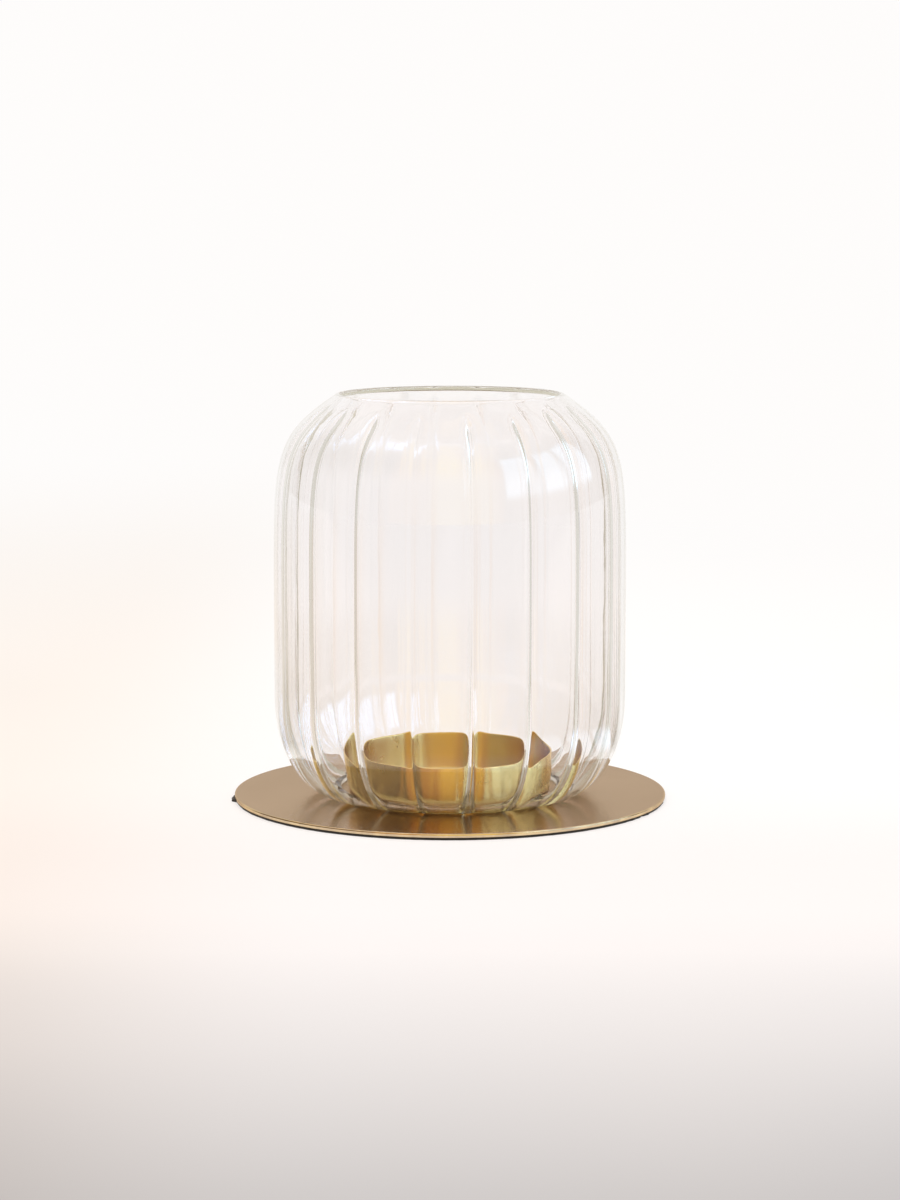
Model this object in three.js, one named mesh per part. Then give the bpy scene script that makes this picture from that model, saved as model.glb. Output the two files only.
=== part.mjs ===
// Glass lantern for one candle. An open, ribbed glass shade stands loose on a thin round
// plate and drops over a shallow cup that holds the candle.
// Millimetres, +Z up. The origin is the middle of the underside, on the table.
import * as THREE from 'three';

// Base plate, and the soft pad under it
const plateDiameter = 170;
const plateThickness = 1.6;
const plateEdgeRadius = 0.5;
const padThickness = 0.9;
const padInset = 0.5;

// Candle cup
const cupDiameter = 80;
const cupHeight = 16.4;
const cupWall = 0.9;
const cupFloor = 0.9;
const cupCornerRadius = 2;

// Glass shade: its height runs from the plate to the outer edge of the mouth
const shadeHeight = 157;
const bodyDiameter = 138;
const mouthDiameter = 89;
const glassWall = 2.2;

// Foot of the glass: a flat land that rests on the plate, clear of the cup all round
const cupClearance = 3.5;
const footLand = 3;
const footEdge = 0.6;
const footRise = 38;

// Shoulder: it leaves the straight wall, and reaches the mouth at a slope
const shoulderDrop = 78;
const shoulderFullness = 0.71;
const mouthSlope = THREE.MathUtils.degToRad(34);

// Ribs: narrow upright ridges inside the glass, which is plain and round outside.
// They stop at a plain collar round the mouth. The first one stands just right of the front.
const ribCount = 18;
const ribHeight = 1.8;
const ribHalfWidth = 3;
const ribSharpness = 1.15;
const ribTurn = THREE.MathUtils.degToRad(7.4);
const collarWidth = 4.5;
const collarStep = 0.6;

// Fineness of the round surfaces. The glass has a column of points at each of these places,
// which are shares of the way from one rib to the next and stand closest at the rib.
const columnPlaces = [0, 0.06, 0.16, 0.34, 0.66, 0.84, 0.94];
const outsideSteps = { foot: 6, shoulder: 8 };
const insideSteps = { foot: 4, shoulder: 6 };
const cupSteps = 64;
const plateSteps = 88;
const cornerSteps = 2;

const plateRadius = plateDiameter / 2;
const padRadius = plateRadius - padInset;
const cupRadius = cupDiameter / 2;
const bodyRadius = bodyDiameter / 2;
const mouthRadius = mouthDiameter / 2;
const footInnerRadius = cupRadius + cupClearance;
const footRadius = footInnerRadius + footLand;
const plateTop = padThickness + plateThickness;

const front = -Math.PI / 2;

// Surfaces

const antiqueBrass = new THREE.MeshStandardMaterial({ color: '#b19a78', roughness: 0.34, metalness: 1 });
const warmBrass = new THREE.MeshStandardMaterial({ color: '#c79a4c', roughness: 0.24, metalness: 1 });
const blackFelt = new THREE.MeshStandardMaterial({ color: '#17130f', roughness: 0.95, metalness: 0 });
const clearGlass = new THREE.MeshStandardMaterial({
  color: '#f3f5f2', roughness: 0.04, metalness: 0, transparent: true, opacity: 0.35,
});

// Helpers

// A quarter or half turn of a small circle in a lathe outline, ends included.
function arc(centreRadius, centreHeight, radius, from, to, steps) {
  const points = [];
  for (let i = 0; i <= steps; i += 1) {
    const angle = from + (to - from) * i / steps;
    const across = centreRadius + radius * Math.cos(angle);
    points.push(new THREE.Vector2(across, centreHeight + radius * Math.sin(angle)));
  }
  return points;
}

// A lathe outline of radius and height, turned about the upright axis.
function turned(outline, steps) {
  const geometry = new THREE.LatheGeometry(outline, steps);
  geometry.rotateX(Math.PI / 2);
  return geometry;
}

function piece(name, geometry, material, height) {
  const mesh = new THREE.Mesh(geometry, material);
  mesh.name = name;
  mesh.position.z = height;
  return mesh;
}

// Plate, pad and cup

function plateGeometry() {
  const inset = plateRadius - plateEdgeRadius;
  const upper = plateThickness - plateEdgeRadius;
  return turned([
    new THREE.Vector2(0, 0),
    ...arc(inset, plateEdgeRadius, plateEdgeRadius, -Math.PI / 2, 0, cornerSteps),
    ...arc(inset, upper, plateEdgeRadius, 0, Math.PI / 2, cornerSteps),
    new THREE.Vector2(0, plateThickness),
  ], plateSteps);
}

function padGeometry() {
  return turned([
    new THREE.Vector2(0, 0),
    new THREE.Vector2(padRadius, 0),
    new THREE.Vector2(padRadius, padThickness),
    new THREE.Vector2(0, padThickness),
  ], plateSteps);
}

// A flat floor, a rounded corner, an upright wall and a rounded rim.
function cupGeometry() {
  const cornerAt = cupRadius - cupCornerRadius;
  const lip = cupWall / 2;
  const innerCorner = Math.max(cupCornerRadius - cupWall, lip);
  const innerRadius = cupRadius - cupWall;
  return turned([
    new THREE.Vector2(0, 0),
    ...arc(cornerAt, cupCornerRadius, cupCornerRadius, -Math.PI / 2, 0, cornerSteps),
    ...arc(cupRadius - lip, cupHeight - lip, lip, 0, Math.PI, cornerSteps + 1),
    ...arc(innerRadius - innerCorner, cupFloor + innerCorner, innerCorner, 0, -Math.PI / 2, cornerSteps),
    new THREE.Vector2(0, cupFloor),
  ], cupSteps);
}

// Glass shade

// Points along a curve of the outside, each with the direction that faces out of the glass.
function alongCurve(curve, places) {
  return places.map((place) => {
    const point = curve.getPoint(place);
    const tangent = curve.getTangent(place);
    return { point, tangent, normal: new THREE.Vector2(tangent.y, -tangent.x) };
  });
}

// Even places from one end of a curve to the other; the first one is left out on request.
function evenPlaces(from, to, steps, withFirst) {
  const places = [];
  for (let i = withFirst ? 0 : 1; i <= steps; i += 1) {
    places.push(from + (to - from) * i / steps);
  }
  return places;
}

// Where a curve that runs inwards first comes within a given radius.
function placeAtRadius(curve, radius) {
  let low = 0;
  let high = 1;
  for (let i = 0; i < 40; i += 1) {
    const middle = (low + high) / 2;
    if (curve.getPoint(middle).x > radius) {
      low = middle;
    } else {
      high = middle;
    }
  }
  return high;
}

// Places up the outside of the glass, from the foot to the mouth. The ribs run behind
// those where ribbed is 1.
function shadeOutside(steps) {
  const footCurve = new THREE.EllipseCurve(
    footRadius, footRise, bodyRadius - footRadius, footRise, -Math.PI / 2, 0);
  const shoulderStart = shadeHeight - shoulderDrop;
  const wall = new THREE.LineCurve(
    new THREE.Vector2(bodyRadius, footRise), new THREE.Vector2(bodyRadius, shoulderStart));
  const mouthFall = (bodyRadius - mouthRadius) * Math.tan(mouthSlope);
  const shoulder = new THREE.CubicBezierCurve(
    new THREE.Vector2(bodyRadius, shoulderStart),
    new THREE.Vector2(bodyRadius, shoulderStart + shoulderDrop * shoulderFullness),
    new THREE.Vector2(bodyRadius, shadeHeight - mouthFall),
    new THREE.Vector2(mouthRadius, shadeHeight));
  const ribEnd = placeAtRadius(shoulder, mouthRadius + collarWidth);
  const collarStart = placeAtRadius(shoulder, mouthRadius + collarWidth - collarStep);
  const ribbed = [
    ...alongCurve(footCurve, evenPlaces(0, 1, steps.foot, true)),
    ...alongCurve(wall, [1]),
    ...alongCurve(shoulder, evenPlaces(0, ribEnd, steps.shoulder, false)),
  ].map((place) => ({ ...place, ribbed: 1 }));
  const plain = alongCurve(shoulder, evenPlaces(collarStart, 1, 2, true))
    .map((place) => ({ ...place, ribbed: 0 }));
  return [...ribbed, ...plain];
}

function plainRing(radius, height) {
  return { radius, height, ribInwards: 0, ribUpwards: 0 };
}

// Every ring of the glass: up the outside, over the lip, down the inside and across the foot.
// Each ring has a radius and height, and what a rib adds to them at its middle.
function shadeRings() {
  const outside = shadeOutside(outsideSteps);
  const rings = outside.map(({ point }) => plainRing(point.x, point.y));
  const mouth = outside[outside.length - 1];
  const lip = glassWall / 2;
  const lipCentre = mouth.point.clone().addScaledVector(mouth.normal, -lip);
  for (const turn of [Math.PI / 4, Math.PI / 2, 3 * Math.PI / 4]) {
    const point = lipCentre.clone()
      .addScaledVector(mouth.normal, lip * Math.cos(turn))
      .addScaledVector(mouth.tangent, lip * Math.sin(turn));
    rings.push(plainRing(point.x, point.y));
  }
  for (const { point, normal, ribbed } of shadeOutside(insideSteps).reverse()) {
    const inner = point.clone().addScaledVector(normal, -glassWall);
    rings.push({
      radius: inner.x,
      height: inner.y,
      ribInwards: -normal.x * ribHeight * ribbed,
      ribUpwards: -normal.y * ribHeight * ribbed,
    });
  }
  const edge = Math.min(footEdge, glassWall / 2);
  const footInside = [
    [footInnerRadius + edge, glassWall],
    [footInnerRadius, glassWall - edge],
    [footInnerRadius, edge],
    [footInnerRadius + edge, 0],
  ];
  for (const [radius, height] of footInside) {
    rings.push(plainRing(radius, height));
  }
  return rings;
}

// One at the middle of a rib, falling away to nothing between the ribs.
function ribShare(place) {
  const pitch = 2 * Math.PI / ribCount;
  const distance = bodyRadius * pitch * Math.min(place, 1 - place);
  return Math.exp(-((distance / ribHalfWidth) ** ribSharpness));
}

function shadeGeometry() {
  const rings = shadeRings();
  const columns = ribCount * columnPlaces.length;
  const positions = [];
  for (const ring of rings) {
    for (let column = 0; column < columns; column += 1) {
      const rib = Math.floor(column / columnPlaces.length);
      const place = columnPlaces[column % columnPlaces.length];
      const share = ribShare(place);
      const angle = front + ribTurn + 2 * Math.PI * (rib + place) / ribCount;
      const radius = ring.radius + ring.ribInwards * share;
      const height = ring.height + ring.ribUpwards * share;
      positions.push(radius * Math.cos(angle), radius * Math.sin(angle), height);
    }
  }
  const indices = [];
  for (let ring = 0; ring < rings.length; ring += 1) {
    const above = (ring + 1) % rings.length;
    for (let column = 0; column < columns; column += 1) {
      const next = (column + 1) % columns;
      const a = ring * columns + column;
      const b = ring * columns + next;
      const c = above * columns + next;
      const d = above * columns + column;
      indices.push(a, b, c, a, c, d);
    }
  }
  const geometry = new THREE.BufferGeometry();
  geometry.setAttribute('position', new THREE.Float32BufferAttribute(positions, 3));
  geometry.setIndex(indices);
  geometry.computeVertexNormals();
  return geometry;
}

// Assembly

const base = new THREE.Group();
base.add(piece('felt_pad', padGeometry(), blackFelt, 0));
base.add(piece('base_plate', plateGeometry(), antiqueBrass, padThickness));
base.add(piece('candle_cup', cupGeometry(), warmBrass, plateTop));

const lantern = new THREE.Group();
lantern.add(base);
lantern.add(piece('glass_shade', shadeGeometry(), clearGlass, plateTop));

export default lantern;
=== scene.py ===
"""Glass lantern: an open ribbed glass shade on a thin brass plate, round a shallow candle cup.

Everything is in metres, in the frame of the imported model: +Z up, -Y towards the camera.
"""
import math

import bpy
import numpy as np
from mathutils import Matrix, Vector

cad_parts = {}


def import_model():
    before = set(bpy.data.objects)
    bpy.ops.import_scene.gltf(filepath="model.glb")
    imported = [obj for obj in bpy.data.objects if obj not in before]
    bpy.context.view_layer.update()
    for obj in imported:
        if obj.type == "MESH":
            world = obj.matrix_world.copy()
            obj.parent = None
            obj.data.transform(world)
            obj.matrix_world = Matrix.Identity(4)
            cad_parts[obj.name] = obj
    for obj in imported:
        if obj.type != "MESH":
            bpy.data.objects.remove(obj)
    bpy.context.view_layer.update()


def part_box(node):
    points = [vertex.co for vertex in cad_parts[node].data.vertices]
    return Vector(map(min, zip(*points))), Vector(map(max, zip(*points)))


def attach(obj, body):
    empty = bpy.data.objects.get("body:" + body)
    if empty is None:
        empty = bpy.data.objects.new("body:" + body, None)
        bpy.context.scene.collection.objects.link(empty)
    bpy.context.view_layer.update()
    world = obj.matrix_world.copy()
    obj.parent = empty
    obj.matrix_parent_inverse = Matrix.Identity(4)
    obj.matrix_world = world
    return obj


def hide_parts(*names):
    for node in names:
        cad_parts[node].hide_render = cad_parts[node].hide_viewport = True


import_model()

MM = 0.001
FRONT = -math.pi / 2

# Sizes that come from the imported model
PAD_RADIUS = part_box("felt_pad")[1].y
PAD_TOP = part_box("felt_pad")[1].z
PLATE_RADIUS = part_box("base_plate")[1].y
PLATE_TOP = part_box("base_plate")[1].z
CUP_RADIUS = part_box("candle_cup")[1].y
CUP_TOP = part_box("candle_cup")[1].z

# Plate and cup
PLATE_EDGE_RADIUS = 0.5 * MM
CUP_WALL = 0.9 * MM
CUP_FLOOR = 0.9 * MM
CUP_CORNER_RADIUS = 2 * MM

# Fineness of the metal: columns round it, steps in each rounding, rings across the flats and the
# radius of the innermost ring. A narrow flat strip beside each rounding keeps the shading crisp.
METAL_COLUMNS = 288
PLATE_EDGE_STEPS = 5
PLATE_TOP_RINGS = 12
PLATE_HUB = 4 * MM
PLATE_UNDERSIDE_RING = 40 * MM
CUP_CORNER_STEPS = 6
CUP_INNER_CORNER_STEPS = 5
CUP_LIP_STEPS = 8
CUP_WALL_STEPS = 6
CUP_FLOOR_RINGS = 6
CUP_HUB = 3 * MM
FLAT_STRIP = 0.25 * MM

# Glass shade, with its height from the plate to the outer edge of the mouth
SHADE_HEIGHT = 157 * MM
BODY_RADIUS = 69 * MM
MOUTH_RADIUS = 44.5 * MM
GLASS_WALL = 2.2 * MM
CUP_CLEARANCE = 3.5 * MM
FOOT_LAND = 3 * MM
FOOT_EDGE = 0.6 * MM
FOOT_RISE = 38 * MM
SHOULDER_DROP = 78 * MM
SHOULDER_FULLNESS = 0.71
MOUTH_SLOPE = math.radians(34)
FOOT_INNER_RADIUS = CUP_RADIUS + CUP_CLEARANCE
FOOT_RADIUS = FOOT_INNER_RADIUS + FOOT_LAND
COLLAR_WIDTH = 4.5 * MM
COLLAR_STEP = 0.6 * MM

# Fineness of the glass: steps up each stretch, round each edge and over the lip, and samples of the
# shoulder's curve in the search for the collar
FOOT_STEPS = 16
WALL_STEPS = 8
SHOULDER_STEPS = 30
COLLAR_STEP_RINGS = 2
MOUTH_STEPS = 5
LIP_STEPS = 8
FOOT_EDGE_STEPS = 3
SHOULDER_SAMPLES = 4001

# Ribs inside the glass. They stand evenly spaced, differ a little in height, grow from one height
# down to another towards the foot, and run out under the collar from a share of the shoulder on.
RIB_COUNT = 18
RIB_TURN = FRONT + math.radians(7.4)
RIB_HEIGHT = 1.5 * MM
RIB_HALF_WIDTH = 1.8 * MM
RIB_SHARPNESS = 1.1
RIB_ROUNDING = 0.2 * MM
RIB_UNEVENNESS = 0.2
RIB_SEED = 4
RIB_FADE_START = 0.86
FOOT_SWELL = 0.35
FOOT_SWELL_HEIGHTS = (32 * MM, 75 * MM)

# One rib is faint: its number, where the first rib is 0, and the share of its height it has lost
FAINT_RIB = 17
FAINT_RIB_LOSS = 0.6

# Slow waves in the blown glass. They are longer up the glass than round it, and the inside has its
# own ones, taken this many metres aside.
GLASS_WAVE = 0.1 * MM
GLASS_WAVES_PER_METRE = 22
UPRIGHT_WAVE_SHARE = 0.4
INSIDE_WAVE_SHIFT = 0.5

# Columns of points round the glass. At the ribs they stand at this share of their even spacing.
COLUMNS_PER_RIB = 26
GLASS_COLUMNS = RIB_COUNT * COLUMNS_PER_RIB
COLUMN_CROWDING = 0.3

# Light that has been mirrored more often than this on its way goes straight on through the glass,
# with a tint, so that rim and sides don't fill with glare
GUIDED_BOUNCES = 2.5
GUIDED_TINT = (0.84, 0.83, 0.78, 1)

# The felt's cut edge: how ragged it is, the numbers of slow waves it wanders in, how far each ring
# strays as a share of its radius, and the rings, as shares of the radius and of the thickness
FELT_COLUMNS = 720
FELT_SEED = 11
FELT_RAGGEDNESS = 0.12 * MM
FELT_WANDERS = (2, 3, 5, 8, 13)
FELT_RING_ROUGHNESS = 0.0006
FELT_RINGS = ((0.35, 0.0), (0.93, 0.0), (0.998, 0.0), (1.0, 0.25), (1.0, 0.55), (1.0, 0.85),
              (0.998, 1.0), (0.93, 1.0), (0.35, 1.0))

# Tufts and nicks of that edge: degrees round the axis, half width in degrees, and reach
FELT_TUFTS = ((184, 5.0, 1.7 * MM), (187, 1.5, 0.9 * MM), (-29, 1.2, -0.9 * MM),
              (-26, 0.8, 0.45 * MM))

# Camera, fitted to the plate's and the mouth's outlines in the photograph
CAMERA_DISTANCE = 1.2412
CAMERA_HEIGHT = 0.2436
CAMERA_PITCH = 0.1323
FOCAL_PIXELS = 3189
IMAGE_HEIGHT = 1200
SENSOR = 36


# Node trees


def add(tree, kind, inputs=None, **settings):
    """A node with its settings, and its inputs given as values or as sockets to link."""
    node = tree.nodes.new(kind)
    for name, value in settings.items():
        setattr(node, name, value)
    for key, value in (inputs or {}).items():
        if isinstance(value, bpy.types.NodeSocket):
            tree.links.new(value, node.inputs[key])
        else:
            node.inputs[key].default_value = value
    return node


def calc(tree, operation, *values, clamp=False):
    """The result of a Math node."""
    node = add(tree, "ShaderNodeMath", dict(enumerate(values)), operation=operation, use_clamp=clamp)
    return node.outputs[0]


def vector_calc(tree, operation, *values):
    """The vector that a Vector Math node gives."""
    node = add(tree, "ShaderNodeVectorMath", operation=operation)
    for index, value in enumerate(values):
        socket = node.inputs["Scale"] if operation == "SCALE" and index == 1 else node.inputs[index]
        if isinstance(value, bpy.types.NodeSocket):
            tree.links.new(value, socket)
        else:
            socket.default_value = value
    return node.outputs[0]


def fade(tree, value, start, end):
    """0 before start and 1 after end, with a smooth change between them."""
    node = add(tree, "ShaderNodeMapRange", {"Value": value, "From Min": start, "From Max": end},
               interpolation_type="SMOOTHSTEP")
    return node.outputs["Result"]


def before(tree, value, start, end):
    """1 before start and 0 after end, with a smooth change between them."""
    return calc(tree, "SUBTRACT", 1.0, fade(tree, value, start, end))


def blend_colours(tree, share, first, second, way="MIX"):
    """The first colour, changed to or by the second one by a share."""
    node = add(tree, "ShaderNodeMix", {0: share, 6: first, 7: second}, data_type="RGBA", blend_type=way)
    return node.outputs[2]


def noise(tree, vector, scale, detail=3.0, rough=0.55):
    """Soft random values, with a mean of about a half."""
    node = add(tree, "ShaderNodeTexNoise", {
        "Vector": vector, "Scale": scale, "Detail": detail, "Roughness": rough})
    return node.outputs["Fac"]


def new_group(name, inputs, outputs):
    """An empty shader group, with its input and output nodes."""
    tree = bpy.data.node_groups.new(name, "ShaderNodeTree")
    for label, kind, value in inputs:
        socket = tree.interface.new_socket(label, in_out="INPUT", socket_type=kind)
        if value is not None:
            socket.default_value = value
    for label, kind in outputs:
        tree.interface.new_socket(label, in_out="OUTPUT", socket_type=kind)
    return tree, tree.nodes.new("NodeGroupInput").outputs, tree.nodes.new("NodeGroupOutput").inputs


def use_group(tree, group, **inputs):
    """Places a shader group; an input's name has _ for a space."""
    node = tree.nodes.new("ShaderNodeGroup")
    node.node_tree = group
    for key, value in inputs.items():
        socket = node.inputs[key.replace("_", " ")]
        if isinstance(value, bpy.types.NodeSocket):
            tree.links.new(value, socket)
        else:
            socket.default_value = value
    return node.outputs


FLOAT = "NodeSocketFloat"
COLOUR = "NodeSocketColor"
VECTOR = "NodeSocketVector"


def round_the_axis(tree, vector):
    """Distance from the upright axis, and height."""
    parts = add(tree, "ShaderNodeSeparateXYZ", {0: vector}).outputs
    squares = calc(tree, "ADD", calc(tree, "MULTIPLY", parts[0], parts[0]),
                   calc(tree, "MULTIPLY", parts[1], parts[1]))
    return calc(tree, "SQRT", squares), parts[2]


def turned_marks_group():
    """Fine rings left by turning or brushing round the axis."""
    tree, given, result = new_group(
        "Turned marks",
        [("Vector", VECTOR, None), ("Marks per metre", FLOAT, 3000.0), ("Patchiness", FLOAT, 0.5)],
        [("Marks", FLOAT)])
    radius, height = round_the_axis(tree, given["Vector"])
    along = add(tree, "ShaderNodeCombineXYZ", {0: radius, 2: height}).outputs[0]
    fine = noise(tree, along, given["Marks per metre"], 2.0, 0.6)
    coarse_per_metre = calc(tree, "MULTIPLY", given["Marks per metre"], 0.2)
    drift = vector_calc(tree, "ADD", along, vector_calc(tree, "SCALE", given["Vector"], 0.02))
    coarse = noise(tree, drift, coarse_per_metre, 2.0)
    marks = calc(tree, "ADD", calc(tree, "MULTIPLY", fine, 0.65), calc(tree, "MULTIPLY", coarse, 0.35))
    patches = noise(tree, given["Vector"], 38.0, 3.0)
    shown = calc(tree, "SUBTRACT", 1.0, calc(tree, "MULTIPLY", patches, given["Patchiness"]))
    tree.links.new(calc(tree, "MULTIPLY", marks, shown), result["Marks"])
    return tree


def patina_group():
    """Clean metal that has gone dull in soft clouds and in small spots."""
    tree, given, result = new_group(
        "Brass patina",
        [("Vector", VECTOR, None), ("Clean", COLOUR, None), ("Dull", COLOUR, None),
         ("Amount", FLOAT, 0.5), ("Clouds per metre", FLOAT, 30.0),
         ("Spots per metre", FLOAT, 400.0), ("Spottiness", FLOAT, 0.5)],
        [("Colour", COLOUR), ("Dullness", FLOAT)])
    clouds = fade(tree, noise(tree, given["Vector"], given["Clouds per metre"], 4.0), 0.35, 0.7)
    spots = fade(tree, noise(tree, given["Vector"], given["Spots per metre"], 2.0), 0.66, 0.74)
    spots = calc(tree, "MULTIPLY", spots, given["Spottiness"])
    both = calc(tree, "MULTIPLY", given["Amount"], calc(tree, "ADD", clouds, spots), clamp=True)
    tree.links.new(blend_colours(tree, both, given["Clean"], given["Dull"]), result["Colour"])
    tree.links.new(both, result["Dullness"])
    return tree


def edge_wear_group():
    """Where handling has rubbed the outer edge bright: a broken band at a given radius."""
    tree, given, result = new_group(
        "Edge wear",
        [("Vector", VECTOR, None), ("Radius", FLOAT, 0.08), ("Width", FLOAT, 0.001),
         ("Breaks", FLOAT, 0.5)],
        [("Wear", FLOAT)])
    radius, _ = round_the_axis(tree, given["Vector"])
    inner = calc(tree, "SUBTRACT", given["Radius"], given["Width"])
    band = fade(tree, radius, inner, given["Radius"])
    broken = fade(tree, noise(tree, given["Vector"], 120.0, 4.0), 0.3, 0.65)
    shown = calc(tree, "SUBTRACT", 1.0, calc(tree, "MULTIPLY", broken, given["Breaks"]))
    tree.links.new(calc(tree, "MULTIPLY", band, shown), result["Wear"])
    return tree


def dust_group():
    """Loose specks and lint, thicker in some places than in others."""
    tree, given, result = new_group(
        "Dust",
        [("Vector", VECTOR, None), ("Specks per metre", FLOAT, 900.0), ("Amount", FLOAT, 0.3)],
        [("Dust", FLOAT), ("Smudges", FLOAT)])
    specks = fade(tree, noise(tree, given["Vector"], given["Specks per metre"], 1.0), 0.7, 0.78)
    places = noise(tree, given["Vector"], 24.0, 3.0)
    dust = calc(tree, "MULTIPLY", calc(tree, "MULTIPLY", specks, places), given["Amount"])
    tree.links.new(dust, result["Dust"])
    tree.links.new(fade(tree, places, 0.45, 0.7), result["Smudges"])
    return tree


def backdrop_tone_group():
    """The studio's pale surroundings by direction: a bright sweep behind, a soft grey at the sides."""
    tree, given, result = new_group(
        "Backdrop tone",
        [("Vector", VECTOR, None), ("Bright", COLOUR, None), ("Side", COLOUR, None),
         ("Half width", FLOAT, 0.7), ("Softness", FLOAT, 0.4)],
        [("Colour", COLOUR)])
    parts = add(tree, "ShaderNodeSeparateXYZ", {0: given["Vector"]}).outputs
    angle = calc(tree, "ABSOLUTE", calc(tree, "ARCTAN2", parts[0], parts[1]))
    edge = calc(tree, "ADD", given["Half width"], given["Softness"])
    aside = fade(tree, angle, given["Half width"], edge)
    tree.links.new(blend_colours(tree, aside, given["Bright"], given["Side"]), result["Colour"])
    return tree


# The room that the metal and the glass mirror: degrees from the front, positive to the right, and
# colour. Its ends meet behind the lantern.
SWEEP = (0.97, 0.95, 0.93, 1)
DIM_WALL = (0.19, 0.12, 0.03, 1)
DARK_WALL = (0.1, 0.05, 0.01, 1)
ORANGE_WALL = (0.68, 0.34, 0.05, 1)
GOLD_WALL = (1.15, 0.85, 0.15, 1)
ROOM_TONES = (
    (-180, SWEEP), (-138, SWEEP), (-122, DIM_WALL), (-75, DIM_WALL), (-60, DARK_WALL),
    (-43, DARK_WALL), (-39, ORANGE_WALL), (-15, ORANGE_WALL), (-8, GOLD_WALL), (24, GOLD_WALL),
    (34, ORANGE_WALL), (37, DIM_WALL), (118, DIM_WALL), (136, SWEEP), (180, SWEEP))

# A window in that room: each pane's start and end in degrees from the front, how many degrees its
# edges are soft for, and how bright the panes look in the glass itself and in the metal behind it
WINDOW_PANES = ((38, 61), (66, 84), (88, 110))
PANE_SOFTNESS = 1.5
GLASS_GLARE = (1.5, 1.9, 2.3, 1)
METAL_GLARE = (2.3, 3.35, 5.1, 1)


def room_tone_group():
    """What stands round the lantern on the camera's side, by direction, under a pale ceiling."""
    tree, given, result = new_group(
        "Room tone",
        [("Vector", VECTOR, None), ("Window share", FLOAT, 1.0), ("Glare", COLOUR, GLASS_GLARE),
         ("Ceiling", COLOUR, (1.1, 0.98, 0.88, 1)), ("Ceiling height", FLOAT, 0.55),
         ("Ceiling softness", FLOAT, 0.25)],
        [("Colour", COLOUR), ("Panes", FLOAT)])
    parts = add(tree, "ShaderNodeSeparateXYZ", {0: given["Vector"]}).outputs
    turn = calc(tree, "ARCTAN2", parts[0], calc(tree, "MULTIPLY", parts[1], -1.0))
    share_of_turn = calc(tree, "MULTIPLY_ADD", turn, 0.5 / math.pi, 0.5)
    ramp = add(tree, "ShaderNodeValToRGB", {"Fac": share_of_turn})
    elements = ramp.color_ramp.elements
    elements[0].position, elements[1].position = 0, 1
    for degrees, colour in ROOM_TONES[1:-1]:
        elements.new(degrees / 360 + 0.5).color = colour
    elements[0].color, elements[-1].color = ROOM_TONES[0][1], ROOM_TONES[-1][1]
    top = calc(tree, "ADD", given["Ceiling height"], given["Ceiling softness"])
    above = fade(tree, parts[2], given["Ceiling height"], top)
    panes = 0.0
    for pane in WINDOW_PANES:
        opened, closed = (fade(tree, turn, math.radians(edge - PANE_SOFTNESS),
                               math.radians(edge + PANE_SOFTNESS)) for edge in pane)
        panes = calc(tree, "ADD", calc(tree, "SUBTRACT", opened, closed), panes)
    panes = calc(tree, "MULTIPLY", panes, given["Window share"])
    colour = blend_colours(tree, above, ramp.outputs["Color"], given["Ceiling"])
    tree.links.new(blend_colours(tree, panes, colour, given["Glare"]), result["Colour"])
    tree.links.new(panes, result["Panes"])
    return tree


TURNED_MARKS = turned_marks_group()
PATINA = patina_group()
EDGE_WEAR = edge_wear_group()
DUST = dust_group()
BACKDROP_TONE = backdrop_tone_group()
ROOM_TONE = room_tone_group()


# Materials


def new_material(name):
    """A material with its shader, output and Object coordinates."""
    material = bpy.data.materials.new(name)
    material.use_nodes = True
    tree = material.node_tree
    shader = tree.nodes["Principled BSDF"]
    place = add(tree, "ShaderNodeTexCoord").outputs["Object"]
    return material, tree, shader, place


def bump(tree, height, depth):
    """The direction that a surface faces when its height differs by up to a depth."""
    return add(tree, "ShaderNodeBump", {"Height": height, "Distance": depth}).outputs["Normal"]


def varied(tree, *changes, base):
    """A base value, with each change added: a value over the surface times its weight."""
    for value, weight in changes:
        base = calc(tree, "MULTIPLY_ADD", value, weight, base)
    return base


def satin_plate_brass():
    """Antique brass, satin and dull in soft clouds, with fine turned marks and a bright worn edge."""
    material, tree, shader, place = new_material("satin antique brass")
    link = tree.links.new
    rubbed_brass = (0.80, 0.64, 0.40, 1)
    pale_dust = (0.75, 0.72, 0.68, 1)
    patina = use_group(tree, PATINA, Vector=place, Clean=(0.52, 0.42, 0.32, 1),
                       Dull=(0.44, 0.35, 0.26, 1), Amount=0.4, Clouds_per_metre=16.0,
                       Spots_per_metre=520.0)
    wear = use_group(tree, EDGE_WEAR, Vector=place, Radius=PLATE_RADIUS, Width=0.9 * MM, Breaks=0.7)
    dust = use_group(tree, DUST, Vector=place, Specks_per_metre=2600.0, Amount=0.12)
    marks = use_group(tree, TURNED_MARKS, Vector=place, Marks_per_metre=4200.0, Patchiness=0.6)
    worn = blend_colours(tree, wear["Wear"], patina["Colour"], rubbed_brass)
    link(blend_colours(tree, dust["Dust"], worn, pale_dust), shader.inputs["Base Color"])
    rough = varied(tree, (patina["Dullness"], 0.08), (dust["Smudges"], 0.015), (wear["Wear"], -0.06),
                   base=0.2)
    link(rough, shader.inputs["Roughness"])
    shader.inputs["Metallic"].default_value = 1
    shader.inputs["Specular Tint"].default_value = (0.74, 0.62, 0.5, 1)
    link(bump(tree, marks["Marks"], 0.012 * MM), shader.inputs["Normal"])
    return material


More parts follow.
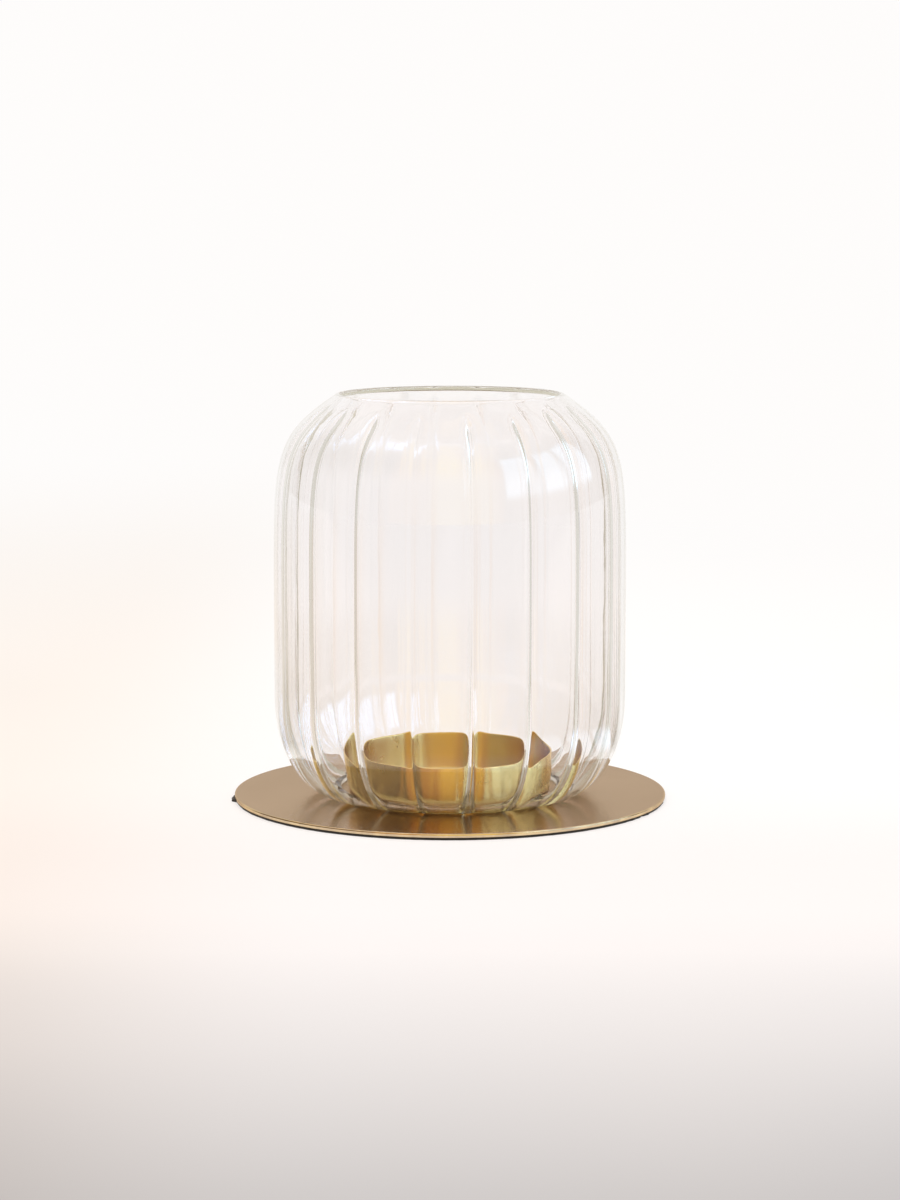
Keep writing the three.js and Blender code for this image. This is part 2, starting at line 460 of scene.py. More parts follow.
def brushed_cup_brass():
    """Warm brass, brushed round the axis, so that it draws what it mirrors out upwards."""
    material, tree, shader, place = new_material("brushed warm brass")
    link = tree.links.new
    pale_dust = (0.78, 0.74, 0.68, 1)
    patina = use_group(tree, PATINA, Vector=place, Clean=(0.82, 0.62, 0.25, 1),
                       Dull=(0.68, 0.49, 0.17, 1), Amount=0.5, Clouds_per_metre=34.0,
                       Spots_per_metre=700.0, Spottiness=0.08)
    marks = use_group(tree, TURNED_MARKS, Vector=place, Marks_per_metre=5200.0, Patchiness=0.5)
    dust = use_group(tree, DUST, Vector=place, Specks_per_metre=2800.0, Amount=0.04)
    wear = use_group(tree, EDGE_WEAR, Vector=place, Radius=CUP_RADIUS, Width=0.8 * MM, Breaks=0.8)
    dusty = blend_colours(tree, dust["Dust"], patina["Colour"], pale_dust)
    link(dusty, shader.inputs["Base Color"])
    rough = varied(tree, (patina["Dullness"], 0.04), (wear["Wear"], -0.04), base=0.27)
    link(rough, shader.inputs["Roughness"])
    shader.inputs["Metallic"].default_value = 1
    shader.inputs["Anisotropic"].default_value = 0.95
    shader.inputs["Anisotropic Rotation"].default_value = 0.25
    shader.inputs["Specular Tint"].default_value = (0.95, 0.85, 0.7, 1)
    around = add(tree, "ShaderNodeTangent", direction_type="RADIAL", axis="Z").outputs[0]
    link(around, shader.inputs["Tangent"])
    link(bump(tree, marks["Marks"], 0.02 * MM), shader.inputs["Normal"])
    return material


def black_felt():
    """Short black felt: fuzz over a matted ground, with lint in it."""
    material, tree, shader, place = new_material("black felt")
    link = tree.links.new
    deep_black = (0.006, 0.005, 0.004, 1)
    warm_black = (0.035, 0.028, 0.023, 1)
    lint = (0.25, 0.22, 0.19, 1)
    dust = use_group(tree, DUST, Vector=place, Specks_per_metre=1800.0, Amount=0.7)
    fuzz = noise(tree, place, 2600.0, 4.0, 0.7)
    mat = noise(tree, place, 700.0, 3.0)
    pile = blend_colours(tree, fuzz, deep_black, warm_black)
    link(blend_colours(tree, dust["Dust"], pile, lint), shader.inputs["Base Color"])
    link(varied(tree, (fuzz, 0.15), base=0.82), shader.inputs["Roughness"])
    shader.inputs["Sheen Weight"].default_value = 0.15
    shader.inputs["Sheen Roughness"].default_value = 0.5
    height = calc(tree, "ADD", calc(tree, "MULTIPLY", fuzz, 0.6), calc(tree, "MULTIPLY", mat, 0.4))
    link(bump(tree, height, 0.15 * MM), shader.inputs["Normal"])
    return material


def clear_glass():
    """Clear glass, a little warmer and darker at the foot, with faint cords and smudges.

    Shadows and soft light go straight through it, and so does light guided far round inside it.
    """
    material, tree, shader, place = new_material("clear ribbed glass")
    link = tree.links.new
    foot_tint = (0.95, 0.922, 0.905, 1)
    body_tint = (0.985, 0.972, 0.972, 1)
    straight_tint = (0.97, 0.975, 0.97, 1)
    foot_tint_end = 0.12
    dust = use_group(tree, DUST, Vector=place, Specks_per_metre=1000.0, Amount=0.3)
    height = add(tree, "ShaderNodeSeparateXYZ", {0: place}).outputs[2]
    uneven_height = varied(tree, (noise(tree, place, 14.0, 2.0), 0.02), base=height)
    body = fade(tree, uneven_height, 0.0, foot_tint_end)
    link(blend_colours(tree, body, foot_tint, body_tint), shader.inputs["Base Color"])
    link(calc(tree, "MULTIPLY", dust["Smudges"], 0.004), shader.inputs["Roughness"])
    shader.inputs["Metallic"].default_value = 0
    shader.inputs["Transmission Weight"].default_value = 1
    shader.inputs["IOR"].default_value = 1.5
    drawn = vector_calc(tree, "MULTIPLY", place, (1, 1, 0.25))
    cords = noise(tree, drawn, 70.0, 3.0)
    link(bump(tree, cords, 0.06 * MM), shader.inputs["Normal"])
    light_path = add(tree, "ShaderNodeLightPath").outputs
    guided = calc(tree, "GREATER_THAN", light_path["Glossy Depth"], GUIDED_BOUNCES)
    clear = blend_colours(tree, guided, straight_tint, GUIDED_TINT)
    passing = add(tree, "ShaderNodeBsdfTransparent", {"Color": clear}).outputs[0]
    straight = calc(tree, "MAXIMUM", light_path["Is Shadow Ray"], light_path["Is Diffuse Ray"])
    straight = calc(tree, "MAXIMUM", straight, guided)
    mixed = add(tree, "ShaderNodeMixShader", {0: straight, 1: shader.outputs[0], 2: passing}).outputs[0]
    link(mixed, tree.nodes["Material Output"].inputs["Surface"])
    return material


# Meshes


def make_mesh(name, points, faces):
    mesh = bpy.data.meshes.new(name)
    mesh.from_pydata([tuple(p) for p in points], [], faces)
    mesh.update()
    mesh.shade_smooth()
    return mesh


def make_object(name, mesh):
    piece = bpy.data.objects.new(name, mesh)
    bpy.context.scene.collection.objects.link(piece)
    return piece


def make_piece(name, mesh, material, body, node):
    """A finished piece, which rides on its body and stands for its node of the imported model.

    There is no material to give where the mesh has its own already.
    """
    if material:
        mesh.materials.append(material)
    piece = make_object(name, mesh)
    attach(piece, body)
    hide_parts(node)


def arc(centre, radius, start, end, steps):
    """Points of a small arc in a lathe outline, as radius and height."""
    angles = np.linspace(start, end, steps + 1)
    return [(centre[0] + radius * math.cos(a), centre[1] + radius * math.sin(a)) for a in angles]


def turned_faces(rings, columns):
    """Faces between rings of points round the axis, with a fan at each end to a point on it."""
    first_of_top = 1 + (rings - 1) * columns
    last_point = 1 + rings * columns
    faces = []
    for column in range(columns):
        after = (column + 1) % columns
        faces.append((0, 1 + after, 1 + column))
        for low in range(1, first_of_top, columns):
            high = low + columns
            faces.append((low + column, low + after, high + after, high + column))
        faces.append((first_of_top + column, first_of_top + after, last_point))
    return faces


def lathe(outline, columns):
    """Points and faces of an outline turned about the axis, which it starts and ends on."""
    turns = np.linspace(0, 2 * math.pi, columns, endpoint=False)
    points = [(0, 0, outline[0][1])]
    for radius, height in outline[1:-1]:
        points += [(radius * math.cos(t), radius * math.sin(t), height) for t in turns]
    points.append((0, 0, outline[-1][1]))
    return points, turned_faces(len(outline) - 2, columns)


def up_or_down(radius, start, end, steps):
    """Even steps along an upright stretch of an outline, ends left out."""
    return [(radius, start + (end - start) * step / steps) for step in range(1, steps)]


def flat_rings(height, radii):
    """Outline points across a flat."""
    return [(radius, height) for radius in radii]


def make_plate(material):
    """A flat disc with a rounded edge."""
    low = PAD_TOP
    edge = PLATE_EDGE_RADIUS
    inset = PLATE_RADIUS - edge
    flat = inset - FLAT_STRIP
    outline = [
        (0, low),
        *flat_rings(low, (PLATE_HUB, PLATE_UNDERSIDE_RING, flat)),
        *arc((inset, low + edge), edge, -math.pi / 2, 0, PLATE_EDGE_STEPS),
        (PLATE_RADIUS, (low + PLATE_TOP) / 2),
        *arc((inset, PLATE_TOP - edge), edge, 0, math.pi / 2, PLATE_EDGE_STEPS),
        *flat_rings(PLATE_TOP, np.linspace(flat, PLATE_HUB, PLATE_TOP_RINGS)),
        (0, PLATE_TOP),
    ]
    mesh = make_mesh("plate", *lathe(outline, METAL_COLUMNS))
    make_piece("plate", mesh, material, "base", "base_plate")


def make_cup(material):
    """A flat floor, a rounded corner, an upright wall and a rounded lip, all of one thin sheet."""
    foot = PLATE_TOP
    floor = foot + CUP_FLOOR
    corner = CUP_CORNER_RADIUS
    inner_corner = corner - CUP_WALL
    inner = CUP_RADIUS - CUP_WALL
    corner_at = CUP_RADIUS - corner
    lip = CUP_WALL / 2
    lip_height = CUP_TOP - lip
    outline = [
        (0, foot),
        *flat_rings(foot, (CUP_HUB, corner_at - FLAT_STRIP)),
        *arc((corner_at, foot + corner), corner, -math.pi / 2, 0, CUP_CORNER_STEPS),
        *up_or_down(CUP_RADIUS, foot + corner, lip_height, CUP_WALL_STEPS),
        *arc((CUP_RADIUS - lip, lip_height), lip, 0, math.pi, CUP_LIP_STEPS),
        *up_or_down(inner, lip_height, floor + inner_corner, CUP_WALL_STEPS),
        *arc((inner - inner_corner, floor + inner_corner), inner_corner, 0, -math.pi / 2,
             CUP_INNER_CORNER_STEPS),
        *flat_rings(floor, np.linspace(inner - inner_corner - FLAT_STRIP, CUP_HUB, CUP_FLOOR_RINGS)),
        (0, floor),
    ]
    mesh = make_mesh("cup", *lathe(outline, METAL_COLUMNS))
    make_piece("cup", mesh, material, "base", "candle_cup")


# Felt pad, with a slightly ragged cut edge


def felt_reach(rng, turns):
    """How far the cut edge reaches at each turn: ragged, wandering, and with its tufts and nicks."""
    ragged = rng.normal(0, 1, len(turns))
    for _ in range(2):
        ragged = (np.roll(ragged, 1) + ragged + np.roll(ragged, -1)) / 3
    wander = sum(rng.normal(0, 1) * np.cos(waves * turns + rng.uniform(0, 6.28)) / waves
                 for waves in FELT_WANDERS)
    reach = PAD_RADIUS + FELT_RAGGEDNESS * (ragged + wander)
    for degrees, half_width, size in FELT_TUFTS:
        off = np.abs((turns - math.radians(degrees) + math.pi) % (2 * math.pi) - math.pi)
        shape = np.clip(1 - off / math.radians(half_width), 0, 1)
        reach += size * shape * (1 + 0.5 * ragged)
    return reach


def make_pad(material):
    """A disc of felt that fills the space under the plate."""
    rng = np.random.default_rng(FELT_SEED)
    turns = np.linspace(0, 2 * math.pi, FELT_COLUMNS, endpoint=False)
    reach = felt_reach(rng, turns)
    points = [(0, 0, 0)]
    for share, height in FELT_RINGS:
        rough = 1 + (rng.normal(0, FELT_RING_ROUGHNESS, FELT_COLUMNS) if share == 1.0 else 0)
        radii = reach * share * rough
        points += [(r * math.cos(t), r * math.sin(t), height * PAD_TOP) for r, t in zip(radii, turns)]
    points.append((0, 0, PAD_TOP))
    mesh = make_mesh("felt_base", points, turned_faces(len(FELT_RINGS), FELT_COLUMNS))
    make_piece("felt_base", mesh, material, "base", "felt_pad")


# Glass shade


def shade_outside():
    """Places up the outside: point, direction along, direction out of the glass, and share of a rib."""
    places = []
    swell = BODY_RADIUS - FOOT_RADIUS
    for turn in np.linspace(0, math.pi / 2, FOOT_STEPS + 1):
        point = (FOOT_RADIUS + swell * math.sin(turn), FOOT_RISE * (1 - math.cos(turn)))
        along = (swell * math.cos(turn), FOOT_RISE * math.sin(turn))
        places.append((point, along, 1))
    start = SHADE_HEIGHT - SHOULDER_DROP
    for share in np.linspace(0, 1, WALL_STEPS + 1)[1:]:
        places.append(((BODY_RADIUS, FOOT_RISE + (start - FOOT_RISE) * share), (0, 1), 1))
    control = np.array([
        (BODY_RADIUS, start),
        (BODY_RADIUS, start + SHOULDER_DROP * SHOULDER_FULLNESS),
        (BODY_RADIUS, SHADE_HEIGHT - (BODY_RADIUS - MOUTH_RADIUS) * math.tan(MOUTH_SLOPE)),
        (MOUTH_RADIUS, SHADE_HEIGHT)])

    def shoulder(t):
        weights = np.array([(1 - t) ** 3, 3 * t * (1 - t) ** 2, 3 * t * t * (1 - t), t ** 3])
        slopes = np.array([-3 * (1 - t) ** 2, 3 * (1 - t) * (1 - 3 * t), 3 * t * (2 - 3 * t), 3 * t * t])
        return weights @ control, slopes @ control

    samples = np.linspace(0, 1, SHOULDER_SAMPLES)
    radii = np.array([shoulder(t)[0][0] for t in samples])
    rib_end = samples[np.argmax(radii <= MOUTH_RADIUS + COLLAR_WIDTH)]
    collar_start = samples[np.argmax(radii <= MOUTH_RADIUS + COLLAR_WIDTH - COLLAR_STEP)]
    for share in np.linspace(0, 1, SHOULDER_STEPS + 1)[1:]:
        faded = max(0, (share - RIB_FADE_START) / (1 - RIB_FADE_START))
        places.append((*shoulder(rib_end * share), 1 - faded ** 2 * (3 - 2 * faded)))
    collar = [*np.linspace(rib_end, collar_start, COLLAR_STEP_RINGS + 2)[1:-1],
              *np.linspace(collar_start, 1, MOUTH_STEPS + 1)]
    places += [(*shoulder(t), 0) for t in collar]
    result = []
    for point, along, ribbed in places:
        along = np.array(along, float) / np.linalg.norm(along)
        result.append((np.array(point, float), along, np.array((along[1], -along[0])), ribbed))
    return result


def shade_rings():
    """Rings of the glass without its ribs, up the outside, over the lip and down the inside.

    Each has a radius and height, the direction in which a rib stands out, a rib's share there, and
    0 outside, 1 inside and a half on the lip.
    """
    towards_axis = np.array((-1.0, 0.0))
    outside = shade_outside()
    rings = []
    for index, (point, _, out, ribbed) in enumerate(outside):
        rings.append((point, -out if index else towards_axis, ribbed, 0))
    mouth, along, out, _ = outside[-1]
    lip = GLASS_WALL / 2
    centre = mouth - out * lip
    for turn in np.linspace(0, math.pi, LIP_STEPS + 1)[1:-1]:
        direction = out * math.cos(turn) + along * math.sin(turn)
        rings.append((centre + direction * lip, -direction, 0, 0.5))
    for point, _, out, ribbed in reversed(outside):
        rings.append((point - out * GLASS_WALL, -out, ribbed, 1))
    edge_at = FOOT_INNER_RADIUS + FOOT_EDGE
    foot = [*arc((edge_at, GLASS_WALL - FOOT_EDGE), FOOT_EDGE, math.pi / 2, math.pi, FOOT_EDGE_STEPS),
            *arc((edge_at, FOOT_EDGE), FOOT_EDGE, math.pi, 1.5 * math.pi, FOOT_EDGE_STEPS)]
    rings += [(np.array(point), towards_axis, 0, 1) for point in foot]
    return rings


def plain_shade():
    """The glass before its ribs, with what the ribs need to know written on each point."""
    rings = shade_rings()
    steps = np.arange(GLASS_COLUMNS) / COLUMNS_PER_RIB
    off = steps - np.round(steps)
    crowded = off * (COLUMN_CROWDING + (1 - COLUMN_CROWDING) * (2 * off) ** 2)
    turns = RIB_TURN + 2 * math.pi * (np.round(steps) + crowded) / RIB_COUNT

    def all_round(across, up):
        return np.stack([across * np.cos(turns), across * np.sin(turns), np.full(GLASS_COLUMNS, up)], 1)

    points, inwards, ribbed, inside = [], [], [], []
    for point, direction, share, side in rings:
        points.append(all_round(point[0], point[1] + PLATE_TOP))
        inwards.append(all_round(*direction))
        ribbed.append(np.full(GLASS_COLUMNS, share))
        inside.append(np.full(GLASS_COLUMNS, side))
    count = len(rings)
    faces = []
    for ring in range(count):
        above = (ring + 1) % count
        for column in range(GLASS_COLUMNS):
            after = (column + 1) % GLASS_COLUMNS
            faces.append((ring * GLASS_COLUMNS + column, ring * GLASS_COLUMNS + after,
                          above * GLASS_COLUMNS + after, above * GLASS_COLUMNS + column))
    mesh = make_mesh("plain shade", np.concatenate(points), faces)
    mesh.attributes.new("inwards", "FLOAT_VECTOR", "POINT").data.foreach_set(
        "vector", np.concatenate(inwards).astype(np.float32).ravel())
    for name, values in (("ribbed", ribbed), ("inside", inside)):
        mesh.attributes.new(name, "FLOAT", "POINT").data.foreach_set(
            "value", np.concatenate(values).astype(np.float32))
    return mesh


def rib_tree(material):
    """Raises a narrow ridge inside the glass at each rib, a little uneven from rib to rib."""
    tree = bpy.data.node_groups.new("Press glass ribs", "GeometryNodeTree")
    face = tree.interface
    face.new_socket("Geometry", in_out="OUTPUT", socket_type="NodeSocketGeometry")
    face.new_socket("Geometry", in_out="INPUT", socket_type="NodeSocketGeometry")
    sizes = {
        "Rib count": RIB_COUNT, "Rib turn": RIB_TURN, "Body radius": BODY_RADIUS,
        "Rib height": RIB_HEIGHT, "Rib half width": RIB_HALF_WIDTH, "Rib sharpness": RIB_SHARPNESS,
        "Rib rounding": RIB_ROUNDING, "Unevenness": RIB_UNEVENNESS, "Faint rib": FAINT_RIB,
        "Faint rib loss": FAINT_RIB_LOSS, "Foot swell": FOOT_SWELL,
        "Foot swell full": FOOT_SWELL_HEIGHTS[0], "Foot swell end": FOOT_SWELL_HEIGHTS[1],
        "Wave depth": GLASS_WAVE, "Waves per metre": GLASS_WAVES_PER_METRE}
    sockets = {name: face.new_socket(name, in_out="INPUT", socket_type=FLOAT) for name in sizes}
    sockets["Seed"] = face.new_socket("Seed", in_out="INPUT", socket_type="NodeSocketInt")
    sizes["Seed"] = RIB_SEED
    given = tree.nodes.new("NodeGroupInput").outputs
    place = add(tree, "GeometryNodeInputPosition").outputs[0]
    parts = add(tree, "ShaderNodeSeparateXYZ", {0: place}).outputs

    def named(name, kind="FLOAT"):
        return add(tree, "GeometryNodeInputNamedAttribute", {"Name": name}, data_type=kind).outputs[0]

    side = named("inside")

    # The nearest rib, its number, and the distance to it round the body
    pitch = calc(tree, "DIVIDE", 2 * math.pi, given["Rib count"])
    angle = calc(tree, "SUBTRACT", calc(tree, "ARCTAN2", parts[1], parts[0]), given["Rib turn"])
    along = calc(tree, "DIVIDE", angle, pitch)
    nearest = calc(tree, "ROUND", along)
    number = calc(tree, "FLOORED_MODULO", nearest, given["Rib count"])
    off_angle = calc(tree, "MULTIPLY", calc(tree, "SUBTRACT", along, nearest), pitch)
    distance = calc(tree, "MULTIPLY", off_angle, given["Body radius"])

    # How strong that rib is, by chance, and weaker if it is the faint one
    chance = add(tree, "FunctionNodeRandomValue", data_type="FLOAT")
    tree.links.new(calc(tree, "SUBTRACT", 1.0, given["Unevenness"]), chance.inputs[2])
    tree.links.new(calc(tree, "ADD", 1.0, given["Unevenness"]), chance.inputs[3])
    tree.links.new(number, chance.inputs["ID"])
    tree.links.new(given["Seed"], chance.inputs["Seed"])
    is_faint = calc(tree, "COMPARE", number, given["Faint rib"], 0.5)
    loss = calc(tree, "MULTIPLY", is_faint, given["Faint rib loss"])
    strength = calc(tree, "SUBTRACT", chance.outputs[1], loss)

    # The ridge: one at its rounded top, falling away on both sides, and higher near the foot
    rounding = given["Rib rounding"]
    squares = calc(tree, "ADD", calc(tree, "MULTIPLY", distance, distance),
                   calc(tree, "MULTIPLY", rounding, rounding))
    off_rib = calc(tree, "SUBTRACT", calc(tree, "SQRT", squares), rounding)
    widths = calc(tree, "DIVIDE", off_rib, given["Rib half width"])
    fall = calc(tree, "POWER", widths, given["Rib sharpness"])
    ridge = calc(tree, "EXPONENT", calc(tree, "MULTIPLY", fall, -1.0))
    low = before(tree, parts[2], given["Foot swell full"], given["Foot swell end"])
    swell = calc(tree, "MULTIPLY_ADD", low, given["Foot swell"], 1.0)
    height = calc(tree, "MULTIPLY", given["Rib height"], swell)
    ridge = calc(tree, "MULTIPLY", calc(tree, "MULTIPLY", ridge, height), side)
    press = calc(tree, "MULTIPLY", calc(tree, "MULTIPLY", ridge, strength), named("ribbed"))

    # The slow waves of the glass
    stretched = vector_calc(tree, "MULTIPLY", place, (1, 1, UPRIGHT_WAVE_SHARE))
    shift = calc(tree, "MULTIPLY", side, INSIDE_WAVE_SHIFT)
    where = vector_calc(tree, "ADD", stretched, add(tree, "ShaderNodeCombineXYZ", {0: shift}).outputs[0])
    wave = calc(tree, "SUBTRACT", noise(tree, where, given["Waves per metre"], 1.5), 0.5)
    press = calc(tree, "ADD", press, calc(tree, "MULTIPLY", wave, given["Wave depth"]))
    inwards = named("inwards", "FLOAT_VECTOR")
    moved = add(tree, "GeometryNodeSetPosition", {
        "Geometry": given["Geometry"], "Offset": vector_calc(tree, "SCALE", inwards, press)}).outputs[0]
    real = add(tree, "GeometryNodeRealizeInstances", {"Geometry": moved}).outputs[0]
    done = add(tree, "GeometryNodeSetMaterial", {"Geometry": real, "Material": material}).outputs[0]
    add(tree, "NodeGroupOutput", {0: done})
    return tree, {sockets[name].identifier: value for name, value in sizes.items()}


def run_tree(tree, values, mesh, name):
    """The mesh after a Geometry Nodes tree, as a plain mesh with no modifier."""
    holder = make_object(name + " source", mesh)
    modifier = holder.modifiers.new(tree.name, "NODES")
    modifier.node_group = tree
    for identifier, value in values.items():
        modifier[identifier] = value
    graph = bpy.context.evaluated_depsgraph_get()
    result = bpy.data.meshes.new_from_object(holder.evaluated_get(graph))
    result.name = name
    holder.modifiers.clear()
    bpy.data.objects.remove(holder)
    return result


def make_shade(material):
    """The blown glass: its plain form, with the ribs pressed into the inside."""
    tree, values = rib_tree(material)
    mesh = run_tree(tree, values, plain_shade(), "glass")
    for name in ("inwards", "ribbed", "inside"):
        mesh.attributes.remove(mesh.attributes[name])
    mesh.shade_smooth()
    make_piece("glass", mesh, None, "shade", "glass_shade")


# Studio

# The pale sweep behind the lantern: white straight back, and grey out at the sides from this many
# radians on
FAR_WHITE = (0.992, 0.976, 0.965, 1)
SIDE_GREY = (0.84, 0.825, 0.81, 1)
SWEEP_HALF_WIDTH = 0.5
SWEEP_SOFTNESS = 0.5

# The floor: a disc just under the felt, with rings at these shares of its radius
FLOOR_RADIUS = 9.0
FLOOR_RINGS = (0.01, 0.03, 0.08, 0.3, 1)
FLOOR_COLUMNS = 96
FLOOR_HEIGHT = -0.05 * MM

# Tints of the floor. It is plain near the lantern, pink in front and cream at the left, and each
# changes between two distances. Towards the camera painted shade greys it, by sides, distances and tint.
PLAIN_REACH = (0.24, 0.5)
FRONT_PINK = (0.968, 0.918, 0.9, 1)
PINK_REACH = (-0.04, 0.13)
LEFT_CREAM = (0.965, 0.9, 0.84, 1)
CREAM_REACH = (-1.6, 0.05)
LEFT_REACH = (0.03, 0.2)
BOTH_SIDES_REACH = (0.05, 0.2)
# Painted shade in the floor's corners towards the camera: sides, distances in front, and tint
CORNER_PAINTED_SHADE = (
    ("both sides", (0.2, 0.33), (0.95, 0.96, 0.97, 1)),
    ("left", (0.17, 0.3), (0.92, 0.92, 0.92, 1)),
    ("both sides", (0.35, 0.47), (0.92, 0.93, 0.94, 1)))

# Painted shade on the floor: how bright its colour is at each distance in front of the lantern. The
# colour ramp that holds these levels runs from 0 to 1, so the distances are scaled to fit it.
FLOOR_PAINTED_SHADE = (
    (0, 1), (0.2, 1), (0.255, 0.975), (0.31, 0.905), (0.365, 0.84), (0.415, 0.77), (0.455, 0.71),
    (0.5, 0.64), (0.6, 0.6), (0.8, 0.7))
RAMP_SCALE = 1.25

# The share of the floor's brightness that is its own glow. It rises to 1 between two distances, so
# that only the floor near the lantern takes a shadow.
FLOOR_GLOW = 0.7
GLOW_REACH = (0.2, 1.0)

# Metal and glass mirror the room in place of a ring of the floor, which fades in and out between
# these distances from the axis. The window's glare in it fades out between two of its own.
MIRRORED_START = (0.092, 0.12)
MIRRORED_END = (0.3, 0.5)
GLARE_END = (0.135, 0.18)

# Light that has crossed more surfaces of glass than this has gone in and come out again
WALL_CROSSINGS = 3.5

# Where the window fades in above its foot and out towards its head, by a direction's upward part
WINDOW_FOOT = (0.08, 0.16)
WINDOW_HEAD = (0.58, 0.66)

# One soft lamp overhead
LAMP_PLACE = (0, -0.2, 1.9)
LAMP_AIM = (0, 0, 0.08)
LAMP_WIDTH = 1.8
LAMP_COLOUR = (1.0, 0.97, 0.94)
LAMP_RADIANCE = 1.5


def backdrop_colour(tree, way):
    """The pale sweep as it looks in a direction."""
    return use_group(tree, BACKDROP_TONE, Vector=way, Bright=FAR_WHITE, Side=SIDE_GREY,
                     Half_width=SWEEP_HALF_WIDTH, Softness=SWEEP_SOFTNESS)["Colour"]


def floor_colour(tree, place, radius):
    """Pale, creamier at the left and pinker in front, and greyer out at the sides.

    Near the camera it is greyer still with painted shade.
    """
    parts = add(tree, "ShaderNodeSeparateXYZ", {0: place}).outputs
    forward = calc(tree, "MULTIPLY", parts[1], -1.0)
    left = fade(tree, calc(tree, "MULTIPLY", parts[0], -1.0), *LEFT_REACH)
    sides = {"left": left, "both sides": fade(tree, calc(tree, "ABSOLUTE", parts[0]), *BOTH_SIDES_REACH)}
    near = before(tree, radius, *PLAIN_REACH)
    colour = blend_colours(tree, near, backdrop_colour(tree, place), FAR_WHITE)
    colour = blend_colours(tree, fade(tree, forward, *PINK_REACH), colour, FRONT_PINK)
    cream = calc(tree, "MULTIPLY", left, fade(tree, forward, *CREAM_REACH))
    colour = blend_colours(tree, cream, colour, LEFT_CREAM, "MULTIPLY")
    # Painted shade: the floor's colour grows darker towards the camera, by the levels in this ramp
    ramp = add(tree, "ShaderNodeValToRGB", {"Fac": calc(tree, "MULTIPLY", forward, RAMP_SCALE)})
    elements = ramp.color_ramp.elements
    elements.remove(elements[1])
    for distance, level in FLOOR_PAINTED_SHADE:
        element = elements[0] if distance == 0 else elements.new(distance * RAMP_SCALE)
        element.color = (level, level, level, 1)
    colour = blend_colours(tree, 1.0, colour, ramp.outputs["Color"], "MULTIPLY")
    # Painted shade that greys the floor's corners towards the camera
    for side, reach, tint in CORNER_PAINTED_SHADE:
        corner = calc(tree, "MULTIPLY", sides[side], fade(tree, forward, *reach))
        colour = blend_colours(tree, corner, colour, tint, "MULTIPLY")
    return colour


def mirrored_room(tree, path):
    """Where a ray shows the room in a mirror, and the colour of the window's glare there.

    The metal and the outside of the glass count as mirrors, but rays turned back inside the glass
    wall don't. The glare is stronger in the metal behind the glass.
    """
    mirrored = calc(tree, "GREATER_THAN", path["Glossy Depth"], 0.5)
    went_in = calc(tree, "GREATER_THAN", path["Transmission Depth"], 0.5)
    came_out = calc(tree, "GREATER_THAN", path["Transmission Depth"], WALL_CROSSINGS)
    in_wall = calc(tree, "SUBTRACT", went_in, came_out)
    glare = blend_colours(tree, came_out, GLASS_GLARE, METAL_GLARE)
    return calc(tree, "MULTIPLY", mirrored, calc(tree, "SUBTRACT", 1.0, in_wall)), glare


def floor_material():
    """Pale and evenly lit for the camera, with painted shade nearer it and the lantern's soft shadow;
    a room where mirrored.
    """
    material, tree, shader, place = new_material("pale floor")
    radius, _ = round_the_axis(tree, place)
    colour = floor_colour(tree, place, radius)
    tree.links.new(colour, shader.inputs["Base Color"])
    shader.inputs["Roughness"].default_value = 0.9
    shader.inputs["Specular IOR Level"].default_value = 0.1
    glow = add(tree, "ShaderNodeEmission", {"Color": colour, "Strength": 1.0}).outputs[0]
    path = add(tree, "ShaderNodeLightPath").outputs
    seen = calc(tree, "MAXIMUM", path["Is Camera Ray"], path["Is Glossy Ray"])
    seen = calc(tree, "MAXIMUM", seen, path["Is Transmission Ray"])
    share = calc(tree, "MULTIPLY_ADD", fade(tree, radius, *GLOW_REACH), 1 - FLOOR_GLOW, FLOOR_GLOW)
    share = calc(tree, "MULTIPLY", seen, share)
    lit = add(tree, "ShaderNodeMixShader", {0: share, 1: shader.outputs[0], 2: glow}).outputs[0]
    mirrored, glare = mirrored_room(tree, path)
    room = use_group(tree, ROOM_TONE, Vector=place, Window_share=before(tree, radius, *GLARE_END),
                     Glare=glare)["Colour"]
    wall = add(tree, "ShaderNodeEmission", {"Color": room, "Strength": 1.0}).outputs[0]
    ring = calc(tree, "SUBTRACT", fade(tree, radius, *MIRRORED_START), fade(tree, radius, *MIRRORED_END))
    shown = calc(tree, "MULTIPLY", mirrored, ring)
    both = add(tree, "ShaderNodeMixShader", {0: shown, 1: lit, 2: wall}).outputs[0]
    tree.links.new(both, tree.nodes["Material Output"].inputs["Surface"])
    return material


def make_floor():
    middle = (0, FLOOR_HEIGHT)
    rings = [(FLOOR_RADIUS * share, FLOOR_HEIGHT) for share in FLOOR_RINGS]
    points, faces = lathe([middle, *rings, middle], FLOOR_COLUMNS)
    second_middle = len(points) - 1
    faces = [face[::-1] for face in faces if second_middle not in face]
    floor = make_object("floor", make_mesh("floor", points[:-1], faces))
    floor.data.materials.append(floor_material())


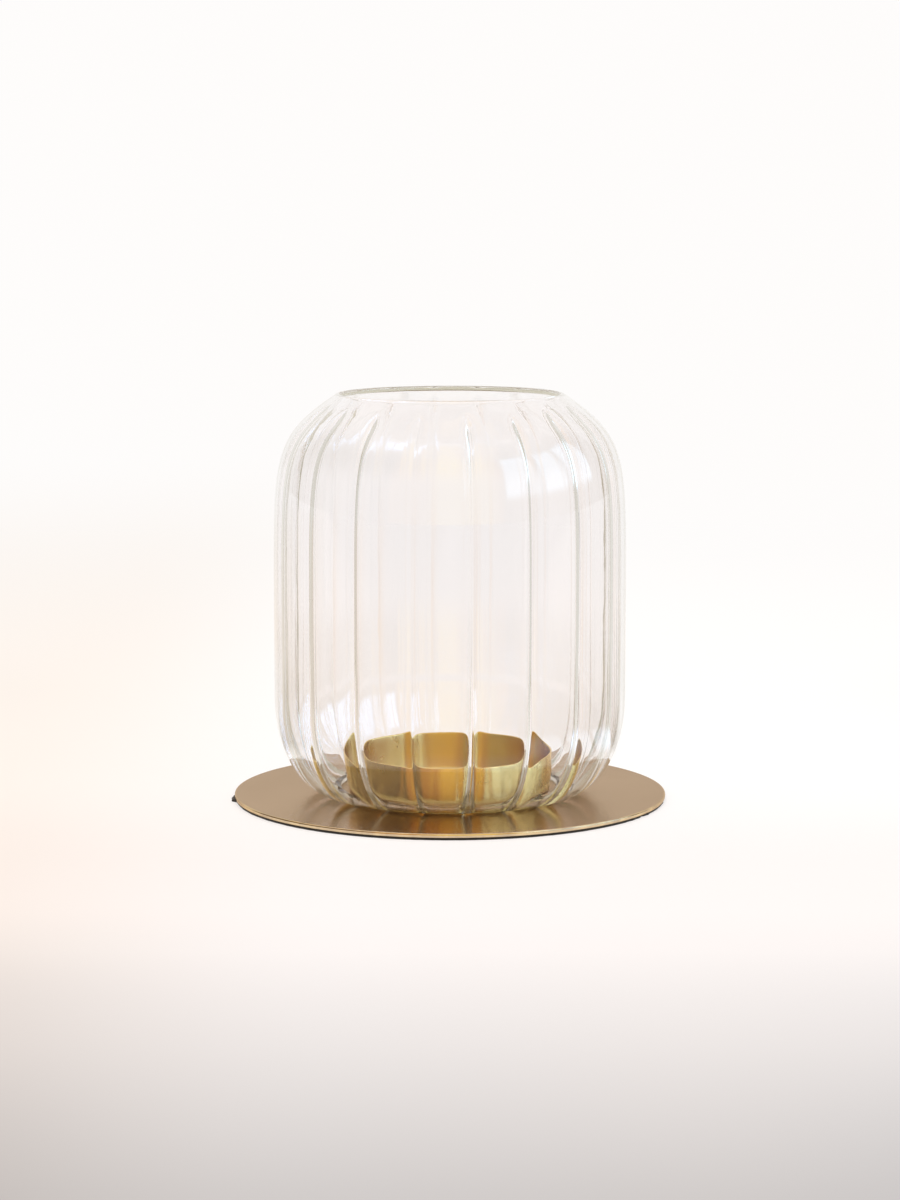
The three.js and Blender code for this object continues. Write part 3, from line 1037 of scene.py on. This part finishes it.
def make_world():
    """Pale surroundings for the camera; in reflections, a warm room with a bright sweep behind."""
    world = bpy.data.worlds.new("studio")
    bpy.context.scene.world = world
    world.use_nodes = True
    tree = world.node_tree
    way = add(tree, "ShaderNodeTexCoord").outputs["Generated"]
    height = add(tree, "ShaderNodeSeparateXYZ", {0: way}).outputs[2]
    window = calc(tree, "MULTIPLY", fade(tree, height, *WINDOW_FOOT),
                  before(tree, height, *WINDOW_HEAD))
    path = add(tree, "ShaderNodeLightPath").outputs
    mirrored, glare = mirrored_room(tree, path)
    room = use_group(tree, ROOM_TONE, Vector=way, Window_share=window, Glare=glare)
    bounced = calc(tree, "GREATER_THAN", path["Glossy Depth"], 0.5)
    glints = calc(tree, "MULTIPLY", room["Panes"], bounced)
    behind = blend_colours(tree, glints, backdrop_colour(tree, way), glare)
    colour = blend_colours(tree, mirrored, behind, room["Colour"])
    tree.links.new(colour, tree.nodes["Background"].inputs["Color"])
    tree.nodes["Background"].inputs["Strength"].default_value = 1


def make_lamp():
    """A soft flat lamp overhead, as bright as its radiance whatever its size, and never seen."""
    data = bpy.data.lights.new("overhead", "AREA")
    data.shape = "SQUARE"
    data.size = LAMP_WIDTH
    data.color = LAMP_COLOUR
    data.energy = LAMP_RADIANCE * math.pi * LAMP_WIDTH ** 2
    lamp = bpy.data.objects.new("overhead", data)
    lamp.location = LAMP_PLACE
    lamp.rotation_euler = (Vector(LAMP_AIM) - Vector(LAMP_PLACE)).to_track_quat("-Z", "Y").to_euler()
    lamp.visible_camera = False
    lamp.visible_transmission = False
    lamp.visible_glossy = False
    bpy.context.scene.collection.objects.link(lamp)


def allow_deep_paths():
    """Light may cross and bounce in the glass often enough that its ribs don't turn black."""
    light = bpy.context.scene.cycles
    light.max_bounces = 24
    light.glossy_bounces = 16
    light.transmission_bounces = 20


def make_camera():
    data = bpy.data.cameras.new("camera")
    data.sensor_fit = "AUTO"
    data.sensor_width = SENSOR
    data.lens = SENSOR * FOCAL_PIXELS / IMAGE_HEIGHT
    data.dof.use_dof = False
    camera = bpy.data.objects.new("camera", data)
    camera.location = (0, -CAMERA_DISTANCE, CAMERA_HEIGHT)
    camera.rotation_euler = (math.pi / 2 - CAMERA_PITCH, 0, 0)
    bpy.context.scene.collection.objects.link(camera)
    bpy.context.scene.camera = camera


# Assembly

make_camera()
bpy.context.scene.view_settings.view_transform = "Standard"
allow_deep_paths()
make_world()
make_lamp()
make_floor()
make_plate(satin_plate_brass())
make_cup(brushed_cup_brass())
make_pad(black_felt())
make_shade(clear_glass())
